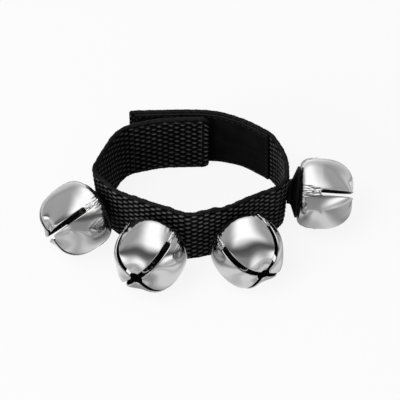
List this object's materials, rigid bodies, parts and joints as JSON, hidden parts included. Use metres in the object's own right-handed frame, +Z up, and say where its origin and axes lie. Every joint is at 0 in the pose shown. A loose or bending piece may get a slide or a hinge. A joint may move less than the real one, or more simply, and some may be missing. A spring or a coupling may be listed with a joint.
{
  "type": "wrist bells",
  "caption": "Black webbing wrist cuff closed by a hook-and-loop overlap, with riveted slotted jingle bells round its outside, each holding a loose ball.",
  "frame": {"origin": "middle of the footprint, on the table that the cuff stands on", "axes": "+Z up through the wrist opening, +X along the cuff's longer side towards the single bell at the right end, -Y towards the two front bells; the overlap is at +Y"},
  "size_m": [0.1102, 0.0706, 0.0254],
  "materials": {
    "webbing": "black woven polypropylene webbing, rows of short raised floats, matt with a faint sheen",
    "hook_tape": "black nylon hook tape",
    "pile_tape": "black brushed loop pile, very matt",
    "sewing_thread": "black twisted polyester thread",
    "backing_disc": "smooth matt black moulded disc",
    "bell_nickel": "bright nickel-plated pressed steel, polished",
    "ball_steel": "plain steel ball",
    "rivet_nickel": "nickel-plated rivet and washer"
  },
  "bodies": {
    "cuff_front": {"webbing_front": "webbing", "backing_disc_1": "backing_disc", "rivet_1": "rivet_nickel", "rivet_washer_1": "rivet_nickel", "backing_disc_2": "backing_disc", "rivet_2": "rivet_nickel", "rivet_washer_2": "rivet_nickel", "backing_disc_3": "backing_disc", "rivet_3": "rivet_nickel", "rivet_washer_3": "rivet_nickel", "backing_disc_4": "backing_disc", "rivet_4": "rivet_nickel", "rivet_washer_4": "rivet_nickel"},
    "inner_end": {"webbing_inner_end": "webbing", "hook_patch": "hook_tape", "hook_patch_seam": "sewing_thread"},
    "outer_end": {"webbing_outer_end": "webbing", "pile_patch": "pile_tape", "pile_patch_seam": "sewing_thread"},
    "bell_1": {"bell_shell_1": "bell_nickel"},
    "ball_1": {"bell_ball_1": "ball_steel"},
    "bell_2": {"bell_shell_2": "bell_nickel"},
    "ball_2": {"bell_ball_2": "ball_steel"},
    "bell_3": {"bell_shell_3": "bell_nickel"},
    "ball_3": {"bell_ball_3": "ball_steel"},
    "bell_4": {"bell_shell_4": "bell_nickel"},
    "ball_4": {"bell_ball_4": "ball_steel"}
  },
  "joints": [
    {"name": "closure_open", "type": "hinge", "parent": "cuff_front", "child": "outer_end", "pos_m": [0.02993, 0.01959, 0.0127], "axis": [0, 0, -1], "range_deg": [0, 90]},
    {"name": "inner_end_open", "type": "hinge", "parent": "cuff_front", "child": "inner_end", "pos_m": [-0.03388, 0.01485, 0.0127], "axis": [0, 0, 1], "range_deg": [0, 45]},
    {"name": "bell_1_swivel", "type": "hinge", "parent": "cuff_front", "child": "bell_1", "pos_m": [-0.03326, 0.00156, 0.01339], "axis": [-0.7642, -0.6412, -0.0698], "continuous": true},
    {"name": "ball_1_roll", "type": "hinge", "parent": "bell_1", "child": "ball_1", "pos_m": [-0.04193, -0.00572, 0.0126], "axis": [-0.7642, -0.6412, -0.0698], "continuous": true},
    {"name": "bell_2_swivel", "type": "hinge", "parent": "cuff_front", "child": "bell_2", "pos_m": [-0.01174, -0.01203, 0.0125], "axis": [-0.4035, -0.9149, 0.0087], "continuous": true},
    {"name": "ball_2_roll", "type": "hinge", "parent": "bell_2", "child": "ball_2", "pos_m": [-0.01632, -0.02241, 0.0126], "axis": [-0.4035, -0.9149, 0.0087], "continuous": true},
    {"name": "bell_3_swivel", "type": "hinge", "parent": "cuff_front", "child": "bell_3", "pos_m": [0.01199, -0.01037, 0.01339], "axis": [0.4714, -0.8792, -0.0698], "continuous": true},
    {"name": "ball_3_roll", "type": "hinge", "parent": "bell_3", "child": "ball_3", "pos_m": [0.01734, -0.02035, 0.0126], "axis": [0.4714, -0.8792, -0.0698], "continuous": true},
    {"name": "bell_4_swivel", "type": "hinge", "parent": "cuff_front", "child": "bell_4", "pos_m": [0.03164, 0.00617, 0.01315], "axis": [0.9973, -0.054, -0.0488], "continuous": true},
    {"name": "ball_4_roll", "type": "hinge", "parent": "bell_4", "child": "ball_4", "pos_m": [0.04296, 0.00555, 0.0126], "axis": [0.9973, -0.054, -0.0488], "continuous": true}
  ],
  "couplings": [
    {"joint": "inner_end_open", "follows": "closure_open", "ratio": 0.5}
  ]
}
